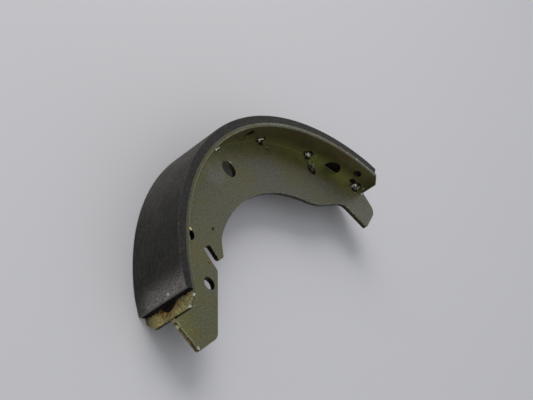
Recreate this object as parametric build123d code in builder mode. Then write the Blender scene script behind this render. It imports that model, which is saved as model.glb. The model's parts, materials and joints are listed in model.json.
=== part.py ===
"""Drum-brake shoe with a bonded lining.

A stamped web stands on edge inside a bent steel table, projection welds hold the two together, and
the friction lining is bonded to the table's outer side.

The shoe lies on its side. The origin is the middle of its box, in the plane that it lies on. The drum's
axis runs along Z, behind the origin, and +Y points from it to the middle of the table's arc. Angles are
in degrees about that axis, to the right of +Y as seen from above, and lengths are in millimetres.
"""
from build123d import *
from math import asin, cos, degrees, radians, sin, sqrt
import os

# ---- Strips that follow the drum ---------------------------------------------------------------
drum_radius = 115.0
shoe_width = 31.0
lining_thickness = 4.4
table_thickness = 2.1
table_reach = 62.4                # from the middle of the arc to either end of the table
table_corner_cut = 4.0            # 45 degree cut across each corner of the table
table_edge_radius = 0.3
lining_left_setback = 7.0         # bare table beyond the lining, measured along the table
lining_right_setback = 5.2
lining_edge_break = 0.4
lining_ramp_length = 10.0          # shallow ramp at each end of the friction face
lining_ramp_depth = 0.8

# ---- Holes in the table ------------------------------------------------------------------------
large_hole_diameter = 9.6
large_hole_left_setback = 8.1     # from the left end of the table to the hole's centre
large_hole_right_setback = 25.6
large_hole_right_rise = 2.3       # above the middle of the table, where the left one is
small_hole_diameter = 4.5         # in the upper flange
small_hole_inset = 6.3            # from the table's upper edge
small_hole_end_setback = 12.5
small_hole_middle_angle = 10.7

# ---- Web ---------------------------------------------------------------------------------------
web_thickness = 2.5
web_depth = 29.3                  # from the table to the top of the arch
web_edge_radius = 0.25            # rolled edge that the punch leaves on the upper face
arch_shift = -1.25                # centre of the arch, across from the drum's axis
arch_rise = 7.1                   # and along +Y from it
shoulder_gap = 0.3                # between the ends of the table and the shoulders of the legs

# Left leg, with the strut slot beside it
left_leg_length = 17.8
left_leg_lean = 2.7               # how far its outer edge leans in towards the foot
left_foot_width = 15.3
left_foot_radius = 1.2
left_heel_radius = 6.0
slot_setback = 47.15              # across the shoe, from the leg's shoulder to the middle of the slot
slot_width = 5.6
slot_depth = 8.5                  # along the nose that bounds the slot on the arch's side
slot_lip_drop = 3.7               # how far the slot's other lip hangs below the nose
slot_floor_radius = 1.2
slot_mouth_radius = 2.4
nose_width = 3.8
nose_drop = 2.0                   # how far the nose hangs below the line of the arch
nose_radius = 1.6
nose_flare_length = 6.5           # across the shoe, from the nose to where it meets the arch
nose_flare_radius = 10.0

# Right leg
right_leg_length = 13.1
right_leg_lean = 0.6
right_foot_width = 16.4
right_foot_rise = 4.2             # the foot's outer corner stands this much above the inner one
right_foot_inner_radius = 1.6
right_foot_outer_radius = 6.0
neck_depth = 18.1                 # from the table to the inner corner of the leg
neck_setback = 13.9               # that corner's place, measured along the table from its end
neck_radius = 9.0
neck_flare_length = 25.3          # across the shoe, from that corner to where it meets the arch
neck_flare_radius = 38.0

# Round holes of the web: setbacks run along the table from its nearer end, insets from its inner side
hold_down_hole_diameter = 9.2
hold_down_hole_angle = -0.5
hold_down_hole_inset = 11.9
spring_hole_diameter = 6.1
lower_left_spring_run = 9.6       # from the slot's mouth, along the slanted edge below it
lower_left_spring_inset = 5.25    # from that edge
upper_left_spring_setback = 51.3
upper_left_spring_inset = 11.3
right_spring_setback = 41.9
right_spring_inset = 8.3
punch_mark_radius = 0.6           # small conical pit in the upper face
punch_mark_depth = 0.5
punch_mark_angle = -27.8
punch_mark_inset = 23.6

# ---- Projection welds --------------------------------------------------------------------------
welds_left = 2                    # of the one in the middle: the large hole takes the next one's place
welds_right = 3
weld_end_setback = 6.5            # from the right end of the table to the last weld's middle
weld_length = 4.6
weld_reach = 1.5                  # in along the web
weld_rise = 2.8                   # up the table
weld_bulge_radius = 4.0
weld_end_cut = 0.7                # 45 degrees, at each end of the bead

# ---- Worked out from the sizes above -----------------------------------------------------------
table_outer = drum_radius - lining_thickness
table_inner = table_outer - table_thickness
arch_radius = table_inner - web_depth - arch_rise
web_bottom = (shoe_width - web_thickness) / 2
web_top = web_bottom + web_thickness


def arc_angle(length, radius=table_outer):
    """The angle that a length along the arc takes up."""
    return degrees(length / radius)


leg_reach = table_reach + arc_angle(shoulder_gap)
left_foot_rise = table_outer * cos(radians(leg_reach)) - left_leg_length   # above the drum's axis
axis_y = -(drum_radius + left_foot_rise) / 2
drum_axis = Axis((0, axis_y, 0), (0, 0, 1))


def outwards(angle):
    """The direction away from the drum's axis."""
    return (sin(radians(angle)), cos(radians(angle)), 0)


def polar(radius, angle):
    """The point at a radius from the drum's axis."""
    return (radius * sin(radians(angle)), axis_y + radius * cos(radians(angle)))


def radial_plane(angle):
    """The plane through the drum's axis, with its x axis outwards and its y axis along +Z."""
    out = outwards(angle)
    return Plane(origin=drum_axis.position, x_dir=out, z_dir=(out[1], -out[0], 0))


def table_hole_plane(angle, height):
    """The plane that lies on the table's outer face, facing outwards."""
    return Plane(origin=(*polar(table_outer, angle), height), x_dir=(0, 0, 1), z_dir=outwards(angle))


lining_left = table_reach - arc_angle(lining_left_setback)
lining_right = table_reach - arc_angle(lining_right_setback)

# ---- Table: a flat strip, bent to the arc ------------------------------------------------------
with BuildPart() as table:
    with BuildSketch(radial_plane(table_reach)):
        with Locations(((table_inner + table_outer) / 2, shoe_width / 2)):
            Rectangle(table_thickness, shoe_width)
    revolve(axis=drum_axis, revolution_arc=2 * table_reach)
    corner_edges = table.edges().filter_by(GeomType.LINE).group_by(SortBy.LENGTH)[0]
    chamfer(corner_edges, table_corner_cut)
    inner_face = table.faces().filter_by(GeomType.CYLINDER).sort_by(SortBy.AREA)[0]
    fillet(inner_face.edges().filter_by(GeomType.CIRCLE), table_edge_radius)
    for angle, rise in (
        (arc_angle(large_hole_left_setback) - table_reach, 0),
        (table_reach - arc_angle(large_hole_right_setback), large_hole_right_rise),
    ):
        with BuildSketch(table_hole_plane(angle, shoe_width / 2 + rise)):
            Circle(large_hole_diameter / 2)
        extrude(amount=-2 * table_thickness, mode=Mode.SUBTRACT)
    for angle in (small_hole_middle_angle, table_reach - arc_angle(small_hole_end_setback)):
        with BuildSketch(table_hole_plane(angle, shoe_width - small_hole_inset)):
            Circle(small_hole_diameter / 2)
        extrude(amount=-2 * table_thickness, mode=Mode.SUBTRACT)
table.part.label = "table"

# ---- Lining: moulded to the arc and bonded to the table ----------------------------------------
with BuildPart() as lining:
    with BuildSketch(radial_plane(lining_right)) as lining_section:
        with Locations(((table_outer + drum_radius) / 2, shoe_width / 2)):
            Rectangle(lining_thickness, shoe_width)
        chamfer(lining_section.vertices().sort_by(Axis.X)[-2:], lining_edge_break)
    revolve(axis=drum_axis, revolution_arc=lining_left + lining_right)
    end_faces = lining.faces().filter_by(GeomType.PLANE).group_by(Axis.Z)[1]
    for end_face in end_faces:
        outer_edge = end_face.edges().sort_by(SortBy.LENGTH)[-2]
        chamfer(outer_edge, lining_ramp_depth, lining_ramp_length, reference=end_face)
lining.part.label = "lining"

# ---- Web: a flat stamping, its back edge against the table -------------------------------------
left_shoulder = Vector(*polar(table_outer, -leg_reach))
left_foot_outer = left_shoulder + (left_leg_lean, -left_leg_length)
left_foot_inner = left_foot_outer + (left_foot_width, 0)
right_shoulder = Vector(*polar(table_outer, leg_reach))
right_foot_outer = right_shoulder + (-right_leg_lean, -right_leg_length)
right_foot_inner = right_foot_outer + (-right_foot_width, -right_foot_rise)
neck = Vector(*polar(table_inner - neck_depth, table_reach - arc_angle(neck_setback)))


def arch_height(across):
    """The arch's place along Y, at a place across the shoe."""
    return axis_y + arch_rise + sqrt(arch_radius**2 - (across - arch_shift) ** 2)


def arch_angle(across):
    """The angle of that place on the arch, about the arch's own centre."""
    return degrees(asin((across - arch_shift) / arch_radius))


slot_left = left_shoulder.X + slot_setback - slot_width / 2
slot_right = slot_left + slot_width
nose_right = slot_right + nose_width
nose_bottom = arch_height((slot_right + nose_right) / 2) - nose_drop
slot_floor = nose_bottom + slot_depth
slot_left_mouth = Vector(slot_left, nose_bottom - slot_lip_drop)
slanted_edge = (left_foot_inner - slot_left_mouth).normalized()
slanted_edge_normal = slanted_edge.rotate(Axis.Z, -90)
arch_left_angle = arch_angle(nose_right + nose_flare_length)
arch_right_angle = arch_angle(neck.X - neck_flare_length)

lower_left_spring_hole = (
    slot_left_mouth + slanted_edge * lower_left_spring_run + slanted_edge_normal * lower_left_spring_inset
)
upper_left_spring_hole = polar(
    table_inner - upper_left_spring_inset, arc_angle(upper_left_spring_setback) - table_reach
)
right_spring_hole = polar(
    table_inner - right_spring_inset, table_reach - arc_angle(right_spring_setback)
)

with BuildPart() as web:
    with BuildSketch(Plane.XY.offset(web_bottom)) as web_outline:
        with BuildLine():
            back = CenterArc((0, axis_y), table_inner, 90 - leg_reach, 2 * leg_reach)
            arch = CenterArc(
                (arch_shift, axis_y + arch_rise),
                arch_radius,
                90 - arch_right_angle,
                arch_right_angle - arch_left_angle,
            )
            Polyline(back @ 0, right_shoulder, right_foot_outer, right_foot_inner, neck, arch @ 0)
            Polyline(
                arch @ 1,
                (nose_right, nose_bottom),
                (slot_right, nose_bottom),
                (slot_right, slot_floor),
                (slot_left, slot_floor),
                slot_left_mouth,
                left_foot_inner,
                left_foot_outer,
                left_shoulder,
                back @ 1,
            )
        make_face()
        for corner, radius in (
            (right_foot_outer, right_foot_outer_radius),
            (right_foot_inner, right_foot_inner_radius),
            (neck, neck_radius),
            (arch @ 0, neck_flare_radius),
            (arch @ 1, nose_flare_radius),
            ((nose_right, nose_bottom), nose_radius),
            ((slot_right, nose_bottom), nose_radius),
            ((slot_right, slot_floor), slot_floor_radius),
            ((slot_left, slot_floor), slot_floor_radius),
            (slot_left_mouth, slot_mouth_radius),
            (left_foot_inner, left_heel_radius),
            (left_foot_outer, left_foot_radius),
        ):
            fillet(web_outline.vertices().sort_by_distance(corner)[0], radius)
        with Locations(polar(table_inner - hold_down_hole_inset, hold_down_hole_angle)):
            Circle(hold_down_hole_diameter / 2, mode=Mode.SUBTRACT)
        with Locations(lower_left_spring_hole, upper_left_spring_hole, right_spring_hole):
            Circle(spring_hole_diameter / 2, mode=Mode.SUBTRACT)
    extrude(amount=web_thickness)
    upper_face = web.faces().sort_by(Axis.Z)[-1]
    punched_edges = upper_face.edges().sort_by(SortBy.LENGTH)[:-1]
    fillet(punched_edges, web_edge_radius)
    with Locations((*polar(table_inner - punch_mark_inset, punch_mark_angle), web_top)):
        Cone(
            0,
            punch_mark_radius,
            punch_mark_depth,
            align=(Align.CENTER, Align.CENTER, Align.MAX),
            mode=Mode.SUBTRACT,
        )
web.part.label = "web"

# ---- Projection welds: a bead in the corner on each side of the web ----------------------------
weld_pitch = (table_reach - arc_angle(weld_end_setback)) / welds_right
weld_angles = [weld_pitch * step for step in range(-welds_left, welds_right + 1)]
weld_half_angle = arc_angle(weld_length, table_inner) / 2

with BuildPart() as weld_spots:
    for angle in weld_angles:
        for side, height in ((1, web_top), (-1, web_bottom)):
            corner = (table_inner, height)
            on_web = (table_inner - weld_reach, height)
            on_table = (table_inner, height + side * weld_rise)
            with BuildSketch(radial_plane(angle + weld_half_angle)):
                with BuildLine():
                    Polyline(on_table, corner, on_web)
                    RadiusArc(on_web, on_table, side * weld_bulge_radius)
                make_face()
            revolve(axis=drum_axis, revolution_arc=2 * weld_half_angle)
    end_arcs = weld_spots.edges().filter_by(GeomType.CIRCLE).group_by(SortBy.RADIUS)[0]
    chamfer(end_arcs, weld_end_cut)
weld_spots.part.label = "weld_spots"

os.makedirs("parts", exist_ok=True)
export_step(web.part, "parts/web.step")
export_step(table.part, "parts/table.step")
export_step(lining.part, "parts/lining.step")
export_step(weld_spots.part, "parts/weld_spots.step")
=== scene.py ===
"""Looks for the brake shoe: camera, floor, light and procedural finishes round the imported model.

The shoe lies on its side: Z is the drum's axis and runs up, left is -X and right is +X. Lengths are in
metres. Angles are in radians about the drum's axis, from +Y towards +X.
"""
import json
import math
import random

import bmesh
import bpy
from mathutils import Matrix, Vector, noise


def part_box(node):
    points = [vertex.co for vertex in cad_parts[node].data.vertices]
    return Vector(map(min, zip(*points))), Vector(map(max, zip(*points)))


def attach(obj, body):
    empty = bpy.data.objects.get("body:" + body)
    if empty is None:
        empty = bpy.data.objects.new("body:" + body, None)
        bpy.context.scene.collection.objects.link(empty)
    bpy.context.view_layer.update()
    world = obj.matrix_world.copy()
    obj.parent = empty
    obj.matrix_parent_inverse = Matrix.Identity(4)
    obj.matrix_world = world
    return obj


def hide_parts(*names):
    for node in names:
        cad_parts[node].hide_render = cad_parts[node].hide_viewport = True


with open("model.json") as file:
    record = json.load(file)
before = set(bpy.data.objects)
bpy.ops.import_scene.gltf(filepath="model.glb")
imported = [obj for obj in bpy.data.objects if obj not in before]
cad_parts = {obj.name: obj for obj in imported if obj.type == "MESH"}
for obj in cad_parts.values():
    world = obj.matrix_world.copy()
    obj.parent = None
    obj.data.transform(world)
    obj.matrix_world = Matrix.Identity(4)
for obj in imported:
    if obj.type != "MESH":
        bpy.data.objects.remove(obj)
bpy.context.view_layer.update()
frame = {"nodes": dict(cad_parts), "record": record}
nodes = frame["nodes"]
scene = bpy.context.scene

# ---- Places on the shoe that the finishes follow, worked out from the frame ---------------------
MM = 0.001
DRUM_RADIUS = 115 * MM
LINING_THICKNESS = 4.4 * MM
TABLE_THICKNESS = 2.1 * MM
TABLE_OUTER = DRUM_RADIUS - LINING_THICKNESS
TABLE_INNER = TABLE_OUTER - TABLE_THICKNESS
AXIS_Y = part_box("lining")[1].y - DRUM_RADIUS
AXIS = Vector((0, AXIS_Y, 0))
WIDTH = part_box("lining")[1].z
WEB_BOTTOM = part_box("web")[0].z
WEB_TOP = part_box("web")[1].z
LARGE_HOLE_RADIUS = 4.8 * MM
CORNER_CUT = 4 * MM


def ends_of(name):
    """The least and the greatest angle of a node's points."""
    angles = [math.atan2(vert.co.x, vert.co.y - AXIS_Y) for vert in nodes[name].data.vertices]
    return min(angles), max(angles)


def around(radius, angle, height):
    """The point at a radius and an angle about the drum's axis."""
    return Vector((radius * math.sin(angle), AXIS_Y + radius * math.cos(angle), height))


def directions_at(point):
    """The outward direction at a point, and the one along the arc towards the right."""
    outward = (Vector((point.x, point.y, 0)) - AXIS).normalized()
    return outward, Vector((outward.y, -outward.x, 0))


LINING_LEFT, LINING_RIGHT = ends_of("lining")
TABLE_LEFT, TABLE_RIGHT = ends_of("table")
PUNCH_MARK = around(TABLE_INNER - 23.6 * MM, math.radians(-27.8), WEB_TOP)
LEFT_HOLE = around(TABLE_OUTER, TABLE_LEFT + 8.1 * MM / TABLE_OUTER, WIDTH / 2)
MIDDLE_HOLE = around(TABLE_INNER, math.radians(10.7), WIDTH - 6.3 * MM)

# The web's round holes: the centre and the radius of each
BORES = {mount["name"]: (Vector(mount["pos_m"]), mount["dims"]["r_mm"] * MM)
         for mount in frame["record"]["mounts"] if mount["kind"] == "bore"}


# ---- Camera ------------------------------------------------------------------------------------
def add_camera():
    """The reference picture's camera: where it stands, which way it looks and how it is rolled."""
    position = Vector((-0.51584, -0.01714, 0.35961))
    azimuth = math.radians(88.141)
    elevation = math.radians(32.997)
    roll = math.radians(56.021)
    forward = Vector((
        math.cos(elevation) * math.sin(azimuth),
        math.cos(elevation) * math.cos(azimuth),
        -math.sin(elevation),
    ))
    level_right = forward.cross(Vector((0, 0, 1))).normalized()
    level_up = level_right.cross(forward)
    right = math.cos(roll) * level_right + math.sin(roll) * level_up
    up = right.cross(forward)
    data = bpy.data.cameras.new("camera")
    data.lens = 85.67
    data.sensor_width = 36
    camera = bpy.data.objects.new("camera", data)
    axes = Matrix((right, up, -forward)).transposed()
    camera.matrix_world = Matrix.Translation(position) @ axes.to_4x4()
    scene.collection.objects.link(camera)
    scene.camera = camera


# ---- Short calls for the nodes that the finishes are made of -----------------------------------
class Finish:
    """A material whose nodes are added by short calls. A value may be a number, a colour or a socket."""

    FULL = 0.6    # a spot is full out to this share of its size, and fades from there

    def __init__(self, name):
        self.material = bpy.data.materials.new(name)
        self.material.use_nodes = True
        self.tree = self.material.node_tree
        self.shader = self.tree.nodes["Principled BSDF"]
        self.place = self.add("ShaderNodeTexCoord").outputs["Object"]
        self.normal = self.add("ShaderNodeNewGeometry").outputs["Normal"]

    def add(self, kind, **settings):
        node = self.tree.nodes.new(kind)
        for name, value in settings.items():
            setattr(node, name, value)
        return node

    def feed(self, socket, value):
        if isinstance(value, bpy.types.NodeSocket):
            self.tree.links.new(value, socket)
        elif isinstance(value, tuple) and len(socket.default_value) == 4:
            socket.default_value = (*value, 1)
        else:
            socket.default_value = value

    def math(self, operation, *values):
        node = self.add("ShaderNodeMath", operation=operation)
        for socket, value in zip(node.inputs, values):
            self.feed(socket, value)
        return node.outputs[0]

    def product(self, first, *others):
        """The numbers multiplied: where they are masks, 1 where all of them are."""
        for other in others:
            first = self.math("MULTIPLY", first, other)
        return first

    def vector(self, operation, *values):
        node = self.add("ShaderNodeVectorMath", operation=operation)
        for socket, value in zip(node.inputs, values):
            self.feed(socket, value)
        scalar = operation in ("DOT_PRODUCT", "LENGTH", "DISTANCE")
        return node.outputs["Value" if scalar else "Vector"]

    def split(self, vector):
        node = self.add("ShaderNodeSeparateXYZ")
        self.feed(node.inputs[0], vector)
        return node.outputs

    def join(self, x, y, z):
        node = self.add("ShaderNodeCombineXYZ")
        for socket, value in zip(node.inputs, (x, y, z)):
            self.feed(socket, value)
        return node.outputs[0]

    def ramp(self, value, start, end, low=0.0, high=1.0):
        """Goes smoothly from low to high while value goes from start to end."""
        node = self.add("ShaderNodeMapRange", interpolation_type="SMOOTHSTEP")
        for name, number in zip(("Value", "From Min", "From Max", "To Min", "To Max"),
                                (value, start, end, low, high)):
            self.feed(node.inputs[name], number)
        return node.outputs[0]

    def mix(self, factor, low, high, blend="MIX"):
        node = self.add("ShaderNodeMix", data_type="RGBA", blend_type=blend)
        self.feed(node.inputs["Factor"], factor)
        self.feed(node.inputs[6], low)
        self.feed(node.inputs[7], high)
        return node.outputs[2]

    def tint(self, color, by, mask=1.0):
        """A colour multiplied by a colour or a number, as far as the mask says."""
        return self.mix(mask, color, by, "MULTIPLY")

    def noise(self, grain, place=None, detail=3.0, roughness=0.55, distortion=0.0):
        """Noise from 0 to 1 whose blotches are about grain metres across."""
        node = self.add("ShaderNodeTexNoise")
        self.feed(node.inputs["Vector"], place or self.place)
        node.inputs["Scale"].default_value = 1 / grain
        node.inputs["Detail"].default_value = detail
        node.inputs["Roughness"].default_value = roughness
        node.inputs["Distortion"].default_value = distortion
        return node.outputs["Fac"]

    def waver(self, value, ragged, most):
        """A value moved by noise, by up to most either way."""
        return self.math("ADD", value, self.math("MULTIPLY_ADD", ragged, 2 * most, -most))

    def specks(self, spacing, size, share):
        """Spots of about size metres in a random share of cells that lie spacing metres apart."""
        node = self.add("ShaderNodeTexVoronoi")
        self.feed(node.inputs["Vector"], self.place)
        node.inputs["Scale"].default_value = 1 / spacing
        inside = self.ramp(node.outputs["Distance"], size / spacing, self.FULL * size / spacing)
        lot = self.split(node.outputs["Color"])[0]
        return self.product(inside, self.math("LESS_THAN", lot, share))

    def distance(self, point):
        return self.vector("DISTANCE", self.place, tuple(point))

    def spot(self, point, size):
        """1 round a point, falling to 0 at size metres from it."""
        return self.ramp(self.distance(point), size, self.FULL * size)

    def mark(self, color, marks):
        """Lays single marks over a colour, each with a ragged outline."""
        ragged = self.noise(0.7 * MM, detail=3.0, roughness=0.7)
        for point, size, paint in marks:
            reach = self.waver(self.distance(point), ragged, 0.9 * size)
            color = self.mix(self.ramp(reach, size, 0.5 * size), color, paint)
        return color

    def polar(self):
        """Radius from the drum's axis, angle about it, and how far the surface faces away from it."""
        shifted = self.vector("SUBTRACT", self.place, (0.0, AXIS_Y, 0.0))
        flat = self.vector("MULTIPLY", shifted, (1.0, 1.0, 0.0))
        x, y, _ = self.split(shifted)
        facing = self.vector("DOT_PRODUCT", self.normal, self.vector("NORMALIZE", flat))
        return self.vector("LENGTH", flat), self.math("ARCTAN2", x, y), facing

    def level(self):
        """1 where the surface lies level, falling to 0 where it stands upright."""
        return self.math("ABSOLUTE", self.split(self.normal)[2])

    def bump(self, height, distance, below=None):
        node = self.add("ShaderNodeBump")
        node.inputs["Distance"].default_value = distance
        self.feed(node.inputs["Height"], height)
        if below:
            self.feed(node.inputs["Normal"], below)
        return node.outputs[0]

    def finish(self, color, roughness, metallic, normal=None):
        self.feed(self.shader.inputs["Base Color"], color)
        self.feed(self.shader.inputs["Roughness"], roughness)
        self.feed(self.shader.inputs["Metallic"], metallic)
        if normal:
            self.feed(self.shader.inputs["Normal"], normal)
        return self.material


# ---- Weld beads: where they are, from the mesh of their node ------------------------------------
def bead_centres():
    """The middle of each separate bead in the node weld_spots: the lower ones, then the upper ones."""
    mesh = bmesh.new()
    mesh.from_mesh(nodes["weld_spots"].data)
    bmesh.ops.remove_doubles(mesh, verts=mesh.verts, dist=0.01 * MM)
    seen = set()
    centres = []
    for start in mesh.verts:
        if start in seen:
            continue
        seen.add(start)
        group = [start]
        for vert in group:    # the list grows while the loop goes through it
            for link in vert.link_edges:
                near = link.other_vert(vert)
                if near not in seen:
                    seen.add(near)
                    group.append(near)
        centres.append(sum((vert.co for vert in group), Vector()) / len(group))
    mesh.free()
    return sorted(centres, key=lambda centre: (centre.z > WEB_TOP, centre.x))


BEADS = bead_centres()
CROWN_BEAD = min((bead for bead in BEADS if bead.z > WEB_TOP), key=lambda bead: abs(bead.x))
BEAD_AFTER_CROWN = BEADS[BEADS.index(CROWN_BEAD) + 1]
SCORCH_REACH = 3.6 * MM


def scorch_round_beads(finish):
    """1 at a weld bead, falling to 0 at about SCORCH_REACH from it, with a ragged outline.

    The upper bead at the crown has burned the plating least.
    """
    nearest = 1.0
    for bead in BEADS:
        distance = finish.distance(bead)
        if bead is CROWN_BEAD:
            distance = finish.math("ADD", distance, 1.2 * MM)
        nearest = finish.math("MINIMUM", nearest, distance)
    reach = finish.waver(nearest, finish.noise(1.8 * MM, detail=4.0), 0.7 * SCORCH_REACH)
    return finish.ramp(reach, SCORCH_REACH, finish.FULL * SCORCH_REACH)


# ---- Chromated steel of the web and the table --------------------------------------------------
OLIVE_GREY = (0.125, 0.126, 0.084)
WARM_OLIVE = (0.140, 0.132, 0.062)
GREEN_OLIVE = (0.110, 0.125, 0.058)
COOL_GREY = (0.132, 0.130, 0.118)
GOLD = (0.30, 0.24, 0.09)
DULL_GOLD = (0.13, 0.10, 0.035)
PALE_GOLD = (0.55, 0.47, 0.24)
RIM_GLINT_YELLOW = (0.95, 0.88, 0.42)
BROWN = (0.095, 0.056, 0.02)
RUST = (0.11, 0.04, 0.015)
SHADE_BROWN = (0.022, 0.012, 0.003)
DARK_CUT_AND_SHADE = (0.024, 0.022, 0.013)
TORN_CUT = (0.07, 0.066, 0.034)
SOOT_AND_SHADE = (0.007, 0.007, 0.006)
BARE_STEEL_AND_GLINT = (0.5, 0.49, 0.42)
BRIGHT_STEEL = (0.7, 0.68, 0.56)
PALE_BROWN = (0.4, 0.36, 0.3)
JUNCTION_HIGHLIGHT = (0.31, 0.31, 0.16)
POOL_STAIN = (0.16, 0.085, 0.02)
GREENISH = (0.07, 0.095, 0.02)
REDDISH = (0.12, 0.07, 0.035)
SCALDED = (0.13, 0.062, 0.012)
YELLOW_GLINT = (0.55, 0.5, 0.3)
OLIVE_NEAR_FLOOR = (0.12, 0.11, 0.07)
RIM_LEFT = (0.125, 0.125, 0.09)
RIM_RIGHT = (0.185, 0.185, 0.142)

# Colours that others are multiplied by
YELLOWER = (1.0, 1.0, 0.86)
MUCH_YELLOWER = (1.03, 0.98, 0.58)
PALER = (1.15, 1.15, 1.22)
LIT_TINT = (1.24, 1.25, 1.36)

# Base, warm and cool colour of the plating in places where it differs
# pooled plating, painted lighter as painted light in the corner
POOLED_AND_LIT = ((0.31, 0.295, 0.1), (0.24, 0.275, 0.08), (0.25, 0.18, 0.07))
INNER_FACE = ((0.105, 0.096, 0.032), (0.1, 0.07, 0.035), GREEN_OLIVE)
INNER_NEXT_TO_WEB = ((0.27, 0.265, 0.1), (0.2, 0.23, 0.07), (0.24, 0.19, 0.09))
OUTER_FACE = ((0.31, 0.275, 0.115), (0.44, 0.37, 0.14), (0.23, 0.22, 0.12))

STEEL_METALLIC = 0.8    # the chromate is a thin film, so the steel shines through it

# Single small marks: where each one is, how far it reaches and its colour
WEB_MARKS = (
    (PUNCH_MARK, 1.15 * MM, SOOT_AND_SHADE),
    (Vector((-0.0565, -0.0112, WEB_TOP)), 0.9 * MM, RUST),
    (Vector((-0.0542, 0.0062, WEB_TOP)), 1.1 * MM, RIM_GLINT_YELLOW),     # painted yellow highlight on the rim of the upper left spring hole
    (Vector((0.003, 0.025, WEB_TOP)), 0.7 * MM, BARE_STEEL_AND_GLINT),             # painted highlight on the rim of the hold-down hole
    (Vector((0.0685, 0.0015, 0.0151)), 0.9 * MM, PALE_BROWN),            # painted brown highlight on the wall of the right spring hole
    (Vector((-0.0954, -0.0396, WEB_TOP)), 0.9 * MM, BARE_STEEL_AND_GLINT),         # left foot
    (Vector((-0.0969, -0.0242, 0.0152)), 1.5 * MM, PALE_GOLD),           # left leg's edge, next to the table
    (Vector((-0.0973, -0.0272, 0.0148)), 1.3 * MM, PALE_GOLD),
    (around(TABLE_INNER, TABLE_RIGHT, WEB_TOP), 1.0 * MM, BARE_STEEL_AND_GLINT),
)
TABLE_MARKS = (
    (around(TABLE_OUTER, TABLE_LEFT, WIDTH - CORNER_CUT), 1.1 * MM, BRIGHT_STEEL),
    (around(TABLE_OUTER, TABLE_LEFT + CORNER_CUT / TABLE_OUTER, WIDTH), 1.1 * MM, BRIGHT_STEEL),
    (around(TABLE_INNER, TABLE_RIGHT, WEB_TOP), 1.1 * MM, BRIGHT_STEEL),
    (around(TABLE_INNER, math.radians(57.1), 0.0192), 2.3 * MM, SOOT_AND_SHADE),   # beside the last weld
    (around(TABLE_INNER, math.radians(12.0), 0.0176), 1.0 * MM, SOOT_AND_SHADE),   # below the middle hole
    (around(TABLE_INNER, math.radians(44.3), 0.0102), 3.2 * MM, SHADE_BROWN),   # painted shade on the table where it is seen through a hole
    (around(TABLE_INNER, math.radians(11.7), 0.0212), 0.7 * MM, BARE_STEEL_AND_GLINT),
)
LINING_MARKS = (
    (around(DRUM_RADIUS - 0.5 * MM, math.radians(-57.9), 0.0198), 1.0 * MM, PALE_BROWN),
)


def chromate(finish, base, warm, cool, contrast=0.36):
    """Soft warm and cool patches at two scales, with the fine grain of plated sheet."""
    broad = finish.noise(24 * MM, detail=3.0)
    color = finish.mix(finish.ramp(broad, 0.40, 0.66), base, warm)
    small = finish.noise(4 * MM, detail=4.0, distortion=0.4)
    color = finish.mix(finish.ramp(small, 0.50, 0.76, 0.0, 0.8), color, cool)
    flecks = finish.noise(1.3 * MM, detail=3.0, roughness=0.6)
    color = finish.mix(finish.ramp(flecks, 0.50, 0.74, 0.0, 0.6), color, warm)
    grain = finish.noise(0.8 * MM, detail=3.0, roughness=0.8)
    return finish.tint(color, finish.ramp(grain, 0.32, 0.68, 1 - contrast, 1 + contrast))


def steel_bump(finish):
    waves = finish.bump(finish.noise(7 * MM, detail=1.0), 0.15 * MM)
    skin = finish.bump(finish.noise(1.1 * MM, detail=3.0, roughness=0.65), 0.05 * MM, below=waves)
    return finish.bump(finish.noise(0.3 * MM, detail=2.0), 0.012 * MM, below=skin)


def finish_steel(finish, color, marks, smoothest):
    """Lays the scorch of the welds and the single marks over the plating, and completes the material."""
    scorch = scorch_round_beads(finish)
    color = finish.mark(finish.mix(scorch, color, SOOT_AND_SHADE), marks)
    roughness = finish.ramp(finish.noise(3 * MM, detail=3.0), 0.3, 0.7, smoothest, 0.5)
    roughness = finish.math("MULTIPLY_ADD", scorch, 0.25, roughness)
    return finish.finish(color, roughness, STEEL_METALLIC, steel_bump(finish))


def cut_edge(finish, gold, depth):
    """A punched edge, whose depth goes from 0 at the far face to 1 at the face that the punch met.

    It is torn and dark up to the middle, then burnished, and gold where the plating has stayed, with a
    painted highlight along its top.
    """
    torn = finish.noise(0.8 * MM, detail=3.0, roughness=0.65)
    dull = finish.mix(finish.ramp(torn, 0.42, 0.68), DARK_CUT_AND_SHADE, TORN_CUT)
    bright = finish.mix(finish.ramp(torn, 0.36, 0.60), DULL_GOLD, GOLD)
    color = finish.mix(gold, dull, bright)
    level = finish.waver(depth, finish.noise(2 * MM, detail=2.0), 0.15)
    tear = finish.product(finish.ramp(level, 0.36, 0.46), finish.ramp(level, 0.80, 0.70), 0.9)
    color = finish.mix(tear, color, DARK_CUT_AND_SHADE)
    # painted highlight: a bright line along the top of the edge
    shine = finish.math("MULTIPLY_ADD", gold, 0.4, 0.5)
    glint = finish.product(finish.ramp(level, 0.84, 0.92), finish.ramp(torn, 0.36, 0.56), shine)
    return finish.mix(glint, color, BARE_STEEL_AND_GLINT)


# ---- The web: its flat faces, the plating pooled next to the table, and its cut edges ------------
def at_bore(finish, name):
    """1 on the wall and at the rim of one of the web's round holes, 0 elsewhere."""
    centre, bore_radius = BORES[name]
    return finish.ramp(finish.distance(centre), bore_radius + 0.75 * MM, bore_radius + 0.38 * MM)


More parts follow.
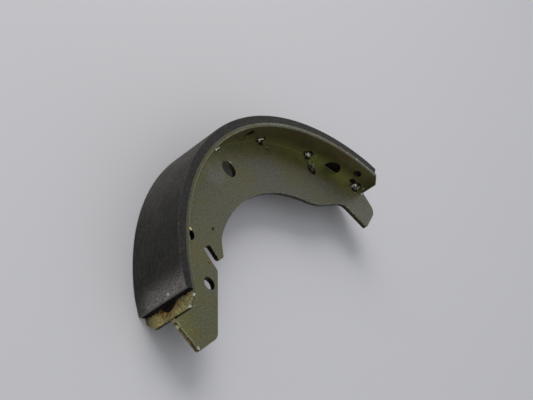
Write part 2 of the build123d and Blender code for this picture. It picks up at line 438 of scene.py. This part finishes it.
def web_faces(finish, angle, across):
    """Olive, greyer to the right, yellower at the far left and paler on the right leg, with painted light
    beside the crown.
    """
    olive = chromate(finish, OLIVE_GREY, WARM_OLIVE, COOL_GREY)
    grey = chromate(finish, COOL_GREY, OLIVE_GREY, COOL_GREY)
    color = finish.mix(finish.ramp(angle, -0.7, 1.0, 0.0, 0.6), olive, grey)
    color = finish.tint(color, YELLOWER, finish.ramp(across, -55 * MM, -75 * MM))
    color = finish.tint(color, PALER, finish.ramp(across, 68 * MM, 82 * MM))
    # painted light: a paler patch beside the crown
    lit_beside_crown = around(TABLE_INNER - 6 * MM, math.radians(-7), WEB_TOP)
    return finish.tint(color, LIT_TINT, finish.spot(lit_beside_crown, 12 * MM))


def pooled_plating(finish, color, radius, angle):
    """The plating pooled along the junction with the table, most of all on the right half, painted lighter
    as painted light in the corner, with a painted highlight along the junction.

    It fades out towards the table's right end.
    """
    gap = finish.math("SUBTRACT", TABLE_INNER, radius)
    from_table = finish.waver(gap, finish.noise(9 * MM, detail=3.0), 4 * MM)
    yellowed = finish.product(
        finish.ramp(from_table, 15 * MM, 6 * MM),
        finish.ramp(angle, 0.05, 0.35),
        finish.ramp(angle, TABLE_RIGHT - 0.02, TABLE_RIGHT - 0.14),
    )
    color = finish.tint(color, MUCH_YELLOWER, yellowed)
    # painted light: the pool is lighter than the plating round it
    lit_pool = finish.product(
        finish.ramp(from_table, 10 * MM, 2 * MM),
        finish.ramp(angle, 0.35, 0.85, 0.2, 1.0),
        finish.ramp(angle, TABLE_RIGHT + 0.02, TABLE_RIGHT - 0.1),
    )
    color = finish.mix(lit_pool, color, chromate(finish, *POOLED_AND_LIT))
    stain = finish.ramp(finish.noise(6 * MM, detail=3.0, distortion=0.5), 0.52, 0.68, 0.0, 0.5)
    color = finish.mix(finish.product(lit_pool, stain), color, POOL_STAIN)
    # painted highlight: a pale line along the junction with the table
    painted_highlight = finish.product(
        finish.ramp(gap, 1.6 * MM, 0.3 * MM),
        finish.ramp(angle, 0.3, 0.8, 0.25, 0.75),
        finish.ramp(angle, TABLE_RIGHT - 0.01, TABLE_RIGHT - 0.05),
    )
    return finish.mix(painted_highlight, color, JUNCTION_HIGHLIGHT)


def web_edges(finish, color, across, height):
    """Cut edges, some with gold left on them, bare steel where their rolled rims are worn, and painted shade
    in and round the spring holes.
    """
    level = finish.level()
    on_left_edge = finish.ramp(across, -90 * MM, -94 * MM)
    kept = finish.product(on_left_edge, finish.ramp(finish.noise(3 * MM, detail=3.0), 0.3, 0.6, 0.1, 0.9))
    for name, share in (("right_spring_hole", 0.3), ("hold_down_hole", 0.55)):
        kept = finish.math("MAXIMUM", kept, finish.product(at_bore(finish, name), share))
    # painted shade: a dark ring round the right spring hole
    color = finish.mix(finish.product(at_bore(finish, "right_spring_hole"), 0.85), color, DARK_CUT_AND_SHADE)
    depth = finish.ramp(height, WEB_BOTTOM, WEB_TOP)
    color = finish.mix(finish.ramp(level, 0.5, 0.2), color, cut_edge(finish, kept, depth))
    worn = finish.product(
        finish.ramp(level, 0.3, 0.6),
        finish.ramp(level, 0.99, 0.9),
        finish.ramp(finish.noise(2.5 * MM), 0.45, 0.68, 0.0, 0.6),
    )
    color = finish.mix(worn, color, BARE_STEEL_AND_GLINT)
    # painted shade: the left spring holes' walls and rims near-black
    for name in ("upper_left_spring_hole", "lower_left_spring_hole"):
        color = finish.mix(finish.product(at_bore(finish, name), 0.9), color, SOOT_AND_SHADE)
    return color


def web_finish():
    finish = Finish("web_chromate")
    radius, angle, _ = finish.polar()
    across, _, height = finish.split(finish.place)
    color = web_faces(finish, angle, across)
    color = pooled_plating(finish, color, radius, angle)
    dirt = finish.product(finish.specks(3.6 * MM, 0.45 * MM, 0.12), 0.6)
    color = finish.mix(dirt, color, DARK_CUT_AND_SHADE)
    rust = finish.product(finish.specks(8.5 * MM, 0.6 * MM, 0.14), 0.7)
    color = finish.mix(rust, color, RUST)
    color = web_edges(finish, color, across, height)
    return finish_steel(finish, color, WEB_MARKS, 0.36)


# ---- The table: its inner face, its outer face, its rim and its cut ends ------------------------
def table_inner_face(finish, angle, height):
    """Deep olive with green and reddish tints, yellower next to the web and dimmer at the right end."""
    color = chromate(finish, *INNER_FACE, 0.2)
    patches = finish.noise(6 * MM, detail=3.0, distortion=0.4)
    color = finish.mix(finish.ramp(patches, 0.56, 0.70, 0.0, 0.6), color, GREENISH)
    color = finish.mix(finish.ramp(patches, 0.44, 0.32, 0.0, 0.6), color, REDDISH)
    from_middle = finish.math("ABSOLUTE", finish.math("SUBTRACT", height, WIDTH / 2))
    from_web = finish.math("SUBTRACT", from_middle, (WEB_TOP - WEB_BOTTOM) / 2)
    near_web = finish.product(
        finish.ramp(from_web, 7 * MM, 0.0),
        finish.ramp(angle, 0.45, 0.8, 0.55, 1.05),
        0.85,
    )
    color = finish.mix(near_web, color, chromate(finish, *INNER_NEXT_TO_WEB, 0.2))
    return finish.tint(color, finish.ramp(angle, TABLE_RIGHT - 0.1, TABLE_RIGHT, 1.0, 0.58))


def table_outer_face(finish, angle, height):
    """Golden tan with brown stains, scalded round the left hole and black next to the lining."""
    color = chromate(finish, *OUTER_FACE, 0.55)
    stain = finish.ramp(finish.noise(3.5 * MM, detail=4.0, distortion=0.6), 0.54, 0.68, 0.0, 0.7)
    color = finish.mix(stain, color, BROWN)
    glints = finish.product(finish.specks(1.2 * MM, 0.4 * MM, 0.3), 0.7)
    color = finish.mix(glints, color, YELLOW_GLINT)
    scald = finish.product(
        finish.spot(LEFT_HOLE, 2 * LARGE_HOLE_RADIUS),
        finish.ramp(finish.noise(2.5 * MM, detail=3.0, distortion=0.5), 0.4, 0.6, 0.3, 1.0),
    )
    color = finish.mix(scald, color, SCALDED)
    past_left = finish.product(finish.math("SUBTRACT", LINING_LEFT, angle), TABLE_OUTER)
    past_right = finish.product(finish.math("SUBTRACT", angle, LINING_RIGHT), TABLE_OUTER)
    past_lining = finish.math("MAXIMUM", past_left, past_right)
    past_lining = finish.waver(past_lining, finish.noise(2 * MM, detail=3.0), 1.5 * MM)
    color = finish.mix(finish.ramp(past_lining, 1.0 * MM, 0.4 * MM), color, SOOT_AND_SHADE)
    # greyer and darker towards the edge at the floor
    near_floor = finish.ramp(height, 8 * MM, 0.0, 0.0, 0.6)
    return finish.mix(near_floor, color, OLIVE_NEAR_FLOOR)


def table_rim(finish, angle, depth):
    """The long edges, lighter to the right, with a painted highlight along their inner side at the left and
    their outer side at the right.
    """
    base = finish.mix(finish.ramp(angle, -0.7, 0.2), RIM_LEFT, RIM_RIGHT)
    color = chromate(finish, base, WARM_OLIVE, COOL_GREY)
    # painted highlight: lighter across the inner part of the edge at the left and the outer part at the
    # right
    left_shade = finish.ramp(depth, 0.12, 0.32, 1.32, 0.7)
    right_shade = finish.ramp(depth, 0.1, 0.9, 0.6, 1.15)
    color = finish.tint(color, finish.mix(finish.ramp(angle, -0.05, 0.3), left_shade, right_shade))
    flecks = finish.product(
        finish.specks(2.6 * MM, 0.9 * MM, 0.45),
        finish.ramp(angle, 0.2, 0.8),
        finish.ramp(depth, 0.3, 0.8),
    )
    return finish.mix(flecks, color, BARE_STEEL_AND_GLINT)


def table_finish():
    finish = Finish("table_chromate")
    radius, angle, facing = finish.polar()
    height = finish.split(finish.place)[2]
    level = finish.level()
    depth = finish.ramp(radius, TABLE_INNER, TABLE_OUTER)
    inner = table_inner_face(finish, angle, height)
    outer = table_outer_face(finish, angle, height)
    color = finish.mix(finish.ramp(facing, -0.3, 0.3), inner, outer)
    color = finish.mix(finish.ramp(level, 0.5, 0.85), color, table_rim(finish, angle, depth))
    sideways = finish.ramp(finish.math("ABSOLUTE", facing), 0.75, 0.4)
    cut = finish.product(sideways, finish.ramp(level, 0.6, 0.4))
    color = finish.mix(cut, color, cut_edge(finish, 0.0, depth))
    # painted shade: a black ring round the middle hole on the inner face
    ring = finish.product(finish.spot(MIDDLE_HOLE, 3.6 * MM), finish.ramp(facing, 0.3, -0.3))
    color = finish.mix(ring, color, SOOT_AND_SHADE)
    return finish_steel(finish, color, TABLE_MARKS, 0.34)


# ---- Friction lining ---------------------------------------------------------------------------
CHARCOAL = ((0.012, 0.0108, 0.0085), (0.022, 0.0195, 0.016))
SIDE_CHARCOAL = ((0.005, 0.0049, 0.0044), (0.0185, 0.018, 0.0155))
DUST_AND_SHEEN = (0.275, 0.258, 0.24)
GRINDING_MARK = (0.07, 0.066, 0.06)
CRUMBS = ((0.6, 0.6, 0.6), (1.5, 1.48, 1.45))      # the face is multiplied by these
END_BLACK = (0.001, 0.001, 0.001)
END_PALE_EDGE = (0.13, 0.12, 0.11)
FIBRE = (0.16, 0.15, 0.13)
PIT = (0.006, 0.006, 0.006)


def friction_face(finish, angle, height, grinding):
    """Brownish charcoal with grinding marks, with dust and painted sheen right at its ends, and painted
    sheen round its crown.
    """
    broad = finish.noise(18 * MM, detail=4.0)
    color = finish.mix(finish.ramp(broad, 0.35, 0.65), *CHARCOAL)
    from_crown = finish.math("ABSOLUTE", angle)
    # dust and painted sheen: paler right at the ends
    dust_and_sheen = finish.product(
        finish.ramp(from_crown, 0.915, 1.02),
        finish.ramp(height, 1 * MM, 11 * MM, 0.3, 1.0),
        finish.ramp(finish.noise(1.2 * MM, detail=4.0, roughness=0.7), 0.3, 0.7, 0.55, 1.0),
    )
    color = finish.mix(dust_and_sheen, color, DUST_AND_SHEEN)
    # painted sheen: paler round the crown, darker away from it
    color = finish.tint(color, finish.ramp(from_crown, 0.7, 0.15, 0.62, 2.3))
    color = finish.mix(finish.ramp(grinding, 0.45, 0.75, 0.0, 0.3), color, GRINDING_MARK)
    crumbs = finish.noise(0.6 * MM, detail=3.0, roughness=0.8)
    return finish.tint(color, finish.mix(finish.ramp(crumbs, 0.34, 0.66), *CRUMBS))


def lining_finish():
    finish = Finish("friction_lining")
    radius, angle, facing = finish.polar()
    height = finish.split(finish.place)[2]
    along = finish.join(finish.product(angle, TABLE_OUTER), height, radius)
    round_the_drum = finish.vector("MULTIPLY", along, (0.05, 1.0, 1.0))
    grinding = finish.noise(0.5 * MM, round_the_drum, detail=3.0, roughness=0.6)
    face = friction_face(finish, angle, height, grinding)

    # dark charcoal sides, mottled and lighter to the right; the ends are painted nearly black as painted
    # shade, paler at their outer edge, and the bonded side is nearly black
    mottle = finish.noise(1.4 * MM, detail=5.0, roughness=0.7)
    sides = finish.mix(finish.ramp(mottle, 0.35, 0.68), *SIDE_CHARCOAL)
    sides = finish.tint(sides, finish.ramp(angle, -0.9, 1.1, 1.0, 2.3))
    color = finish.mix(finish.ramp(facing, 0.35, 0.8), sides, face)
    # painted shade: the ends nearly black; the bonded side nearly black too
    hidden = finish.product(finish.ramp(finish.level(), 0.6, 0.3), finish.ramp(facing, 0.5, 0.2))
    near_face = finish.ramp(radius, DRUM_RADIUS - 2.5 * MM, DRUM_RADIUS - 1.6 * MM)
    color = finish.mix(hidden, color, finish.mix(near_face, END_BLACK, END_PALE_EDGE))

    fibres = finish.product(finish.specks(1.7 * MM, 0.4 * MM, 0.1), 0.35)
    color = finish.mix(fibres, color, FIBRE)
    chips = finish.specks(9 * MM, 0.55 * MM, 0.07)
    color = finish.mark(finish.mix(chips, color, PALE_BROWN), LINING_MARKS)
    pits = finish.product(finish.specks(2.3 * MM, 0.5 * MM, 0.2), 0.7)
    color = finish.mix(pits, color, PIT)

    grain = finish.noise(0.6 * MM, detail=4.0, roughness=0.75)
    normal = finish.bump(grain, 0.08 * MM, below=finish.bump(grinding, 0.04 * MM))
    roughness = finish.ramp(finish.noise(2 * MM), 0.3, 0.7, 0.55, 0.75)
    finish.shader.inputs["Specular IOR Level"].default_value = 0.25
    return finish.finish(color, roughness, 0.0, normal)


# ---- Short calls for the pieces that the scene adds ---------------------------------------------
def add_lump(mesh, centre, axes, sizes, seed, keep):
    """An ellipsoid with coarse and fine lumps; keep moves each of its points to where it may be."""
    sphere = bmesh.ops.create_icosphere(mesh, subdivisions=4, radius=1.0)
    for vert in sphere["verts"]:
        coarse = noise.noise(vert.co * 1.8 + Vector((seed, 0, 0)))
        fine = noise.noise(vert.co * 4.5 + Vector((0, seed, 0)))
        wobble = 1 + 0.28 * coarse + 0.10 * fine
        local = [part * size * wobble for part, size in zip(vert.co, sizes)]
        vert.co = keep(centre + sum((axis * part for axis, part in zip(axes, local)), Vector()))


def add_piece(name, mesh, material):
    """A smooth object with one material, made of a mesh that is then freed."""
    data = bpy.data.meshes.new(name)
    mesh.to_mesh(data)
    mesh.free()
    data.shade_smooth()
    data.materials.append(material)
    piece = bpy.data.objects.new(name, data)
    scene.collection.objects.link(piece)
    return piece


# ---- Weld beads: lumps of once molten metal in the corner, and drops that flew off them ---------
DROPS = 5
BEAD_SIZES = (2.2 * MM, 1.5 * MM, 2.6 * MM)        # half sizes: along the arc, outward and upward
SLUMPED_SIZES = (3.0 * MM, 1.4 * MM, 1.0 * MM)
MELTED = (0.7, 0.68, 0.6)
STRAW = (0.45, 0.36, 0.16)


def weld_finish():
    finish = Finish("weld_metal")
    patches = finish.noise(1.1 * MM, detail=3.0, distortion=0.6)
    # the upper bead at the crown is brighter than the others, and the next one is darker
    for bead, lift in ((CROWN_BEAD, 0.04), (BEAD_AFTER_CROWN, -0.08)):
        patches = finish.math("MULTIPLY_ADD", finish.spot(bead, 6 * MM), lift, patches)
    color = finish.mix(finish.ramp(patches, 0.435, 0.555), SOOT_AND_SHADE, MELTED)
    straw = finish.ramp(finish.noise(1.6 * MM), 0.5, 0.7, 0.0, 0.5)
    color = finish.mix(straw, color, STRAW)
    roughness = finish.ramp(patches, 0.4, 0.6, 0.65, 0.22)
    normal = finish.bump(finish.noise(0.5 * MM, detail=3.0), 0.06 * MM)
    return finish.finish(color, roughness, 1.0, normal)


def add_bead(mesh, bead, seed, chance):
    """One lumpy bead, with a few drops of spatter round it."""
    above = bead.z > WEB_TOP
    plate = WEB_TOP if above else WEB_BOTTOM
    outward, tangent = directions_at(bead)
    axes = (tangent, outward, Vector((0, 0, 1 if above else -1)))

    def keep_in_corner(point):
        """Keeps a point clear of the web's face and of the table's inner face."""
        flat = Vector((point.x, point.y, 0)) - AXIS
        flat *= min(1, TABLE_INNER / flat.length)
        height = max(point.z, plate) if above else min(point.z, plate)
        return Vector((flat.x, flat.y + AXIS_Y, height))

    corner = AXIS + outward * TABLE_INNER + Vector((0, 0, plate))
    sizes = SLUMPED_SIZES if bead is CROWN_BEAD else BEAD_SIZES
    add_lump(mesh, corner, axes, sizes, seed, keep_in_corner)
    for drop in range(DROPS):
        size = chance.uniform(0.18, 0.42) * MM
        shift = tangent * chance.uniform(-5, 5) * MM
        if drop % 2:
            shift += axes[2] * chance.uniform(2, 6) * MM
        else:
            shift -= outward * chance.uniform(2, 5) * MM
        add_lump(mesh, corner + shift, axes, (size, size, size), seed + drop, keep_in_corner)


def add_welds():
    """Replaces the plain beads by lumpy ones."""
    chance = random.Random(4)
    mesh = bmesh.new()
    for index, bead in enumerate(BEADS):
        add_bead(mesh, bead, 7.0 * index, chance)
    beads = add_piece("weld_beads", mesh, weld_finish())
    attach(beads, "root")
    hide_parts("weld_spots")


# ---- Adhesive: squeezed out along the lining's ends, and run into the table's left large hole ---
BLACK_GLUE = (0.002, 0.0018, 0.0015)
BROWN_GLUE = (0.014, 0.007, 0.0035)


def adhesive_finish():
    finish = Finish("adhesive")
    flow = finish.noise(2.2 * MM, detail=3.0, distortion=0.8)
    color = finish.mix(finish.ramp(flow, 0.42, 0.66), BLACK_GLUE, BROWN_GLUE)
    roughness = finish.ramp(finish.noise(1.5 * MM), 0.3, 0.7, 0.6, 0.8)
    finish.shader.inputs["Specular IOR Level"].default_value = 0.14
    normal = finish.bump(finish.noise(0.6 * MM, detail=3.0), 0.05 * MM)
    return finish.finish(color, roughness, 0.0, normal)


def add_squeeze_out(mesh, end, away, seed):
    """A wavering fillet of adhesive across the table, in the corner that one end of the lining makes.

    It stops short of the table's long edges and grows thinner towards them.
    """
    steps = 90
    turns = 6
    margin = 0.7 * MM
    long_wave = 2.5 * MM
    short_wave = 0.8 * MM
    rings = []
    for step in range(steps + 1):
        height = margin + (WIDTH - 2 * margin) * step / steps
        wave = noise.noise(Vector((height / long_wave, seed, 0)))
        ripple = noise.noise(Vector((height / short_wave, seed, 5)))
        fade = min(1, 0.25 + 4 * min(step, steps - step) / steps)
        along = fade * (0.5 + 0.35 * wave + 0.15 * ripple) * MM
        rise = fade * (0.6 + 0.25 * wave - 0.1 * ripple) * MM
        ring = [mesh.verts.new(around(TABLE_OUTER, end, height))]
        for turn in range(turns + 1):
            lean = math.pi / 2 * turn / turns
            reach = along * (1 - math.sin(lean)) if 0 < turn < turns else along * (1 - turn / turns)
            lift = rise * (1 - math.cos(lean)) if 0 < turn < turns else rise * turn / turns
            angle = end + away * reach / TABLE_OUTER
            ring.append(mesh.verts.new(around(TABLE_OUTER + lift, angle, height)))
        rings.append(ring)
    for low, high in zip(rings, rings[1:]):
        for index in range(len(low)):
            after = (index + 1) % len(low)
            mesh.faces.new((low[index], low[after], high[after], high[index]))
    mesh.faces.new(rings[0])
    mesh.faces.new(reversed(rings[-1]))


def add_adhesive():
    mesh = bmesh.new()
    add_squeeze_out(mesh, LINING_LEFT, -1, 3.0)
    add_squeeze_out(mesh, LINING_RIGHT, 1, 11.0)
    bmesh.ops.recalc_face_normals(mesh, faces=mesh.faces)

    outward, tangent = directions_at(LEFT_HOLE)
    middle = LEFT_HOLE - outward * 0.55 * TABLE_THICKNESS

    def keep_in_hole(point):
        """Keeps a point inside the hole's wall and a little under the table's two faces."""
        shift = point - middle
        depth = shift.dot(outward)
        flat = shift - outward * depth
        flat *= min(1, 0.995 * LARGE_HOLE_RADIUS / flat.length)
        depth = max(-0.42 * TABLE_THICKNESS, min(depth, 0.45 * TABLE_THICKNESS))
        return middle + flat + outward * depth

    axes = (tangent, outward, Vector((0, 0, 1)))
    sizes = (1.25 * LARGE_HOLE_RADIUS, 0.5 * TABLE_THICKNESS, 1.25 * LARGE_HOLE_RADIUS)
    add_lump(mesh, middle, axes, sizes, 2.0, keep_in_hole)
    adhesive = add_piece("adhesive", mesh, adhesive_finish())
    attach(adhesive, "root")


# ---- Floor and light ---------------------------------------------------------------------------
PALE_GREY = ((0.52, 0.52, 0.535), (0.56, 0.56, 0.575))


def floor_finish():
    finish = Finish("floor_sheet")
    color = finish.mix(finish.noise(0.6, detail=2.0), *PALE_GREY)
    return finish.finish(color, roughness=0.9, metallic=0.0)


def add_floor():
    half = 3.0
    clear = 0.05 * MM
    mesh = bpy.data.meshes.new("floor")
    corners = [(-half, -half, 0), (half, -half, 0), (half, half, 0), (-half, half, 0)]
    mesh.from_pydata(corners, [], [(0, 1, 2, 3)])
    mesh.materials.append(floor_finish())
    floor = bpy.data.objects.new("floor", mesh)
    floor.location.z = -clear
    scene.collection.objects.link(floor)


def add_light(name, location, size, energy, color):
    """A square lamp that points at the shoe."""
    data = bpy.data.lights.new(name, "AREA")
    data.size = size
    data.energy = energy
    data.color = color
    light = bpy.data.objects.new(name, data)
    light.location = location
    light.rotation_euler = (-Vector(location)).to_track_quat("-Z", "Y").to_euler()
    scene.collection.objects.link(light)


def add_world(color, strength):
    world = bpy.data.worlds.new("studio")
    world.use_nodes = True
    sky = world.node_tree.nodes["Background"]
    sky.inputs["Color"].default_value = (*color, 1)
    sky.inputs["Strength"].default_value = strength
    scene.world = world


for name, make in (("web", web_finish), ("table", table_finish), ("lining", lining_finish)):
    slots = nodes[name].data.materials
    slots.clear()
    slots.append(make())

add_welds()
add_adhesive()
add_camera()
add_floor()
add_light("key", location=(0.25, 0.85, 0.75), size=0.9, energy=8.5, color=(1.0, 0.99, 0.97))
add_light("fill", location=(-0.9, -0.3, 0.7), size=0.8, energy=1.2, color=(0.95, 0.97, 1.0))
add_world(color=(0.95, 0.96, 1.0), strength=0.56)
scene.view_settings.view_transform = "Standard"
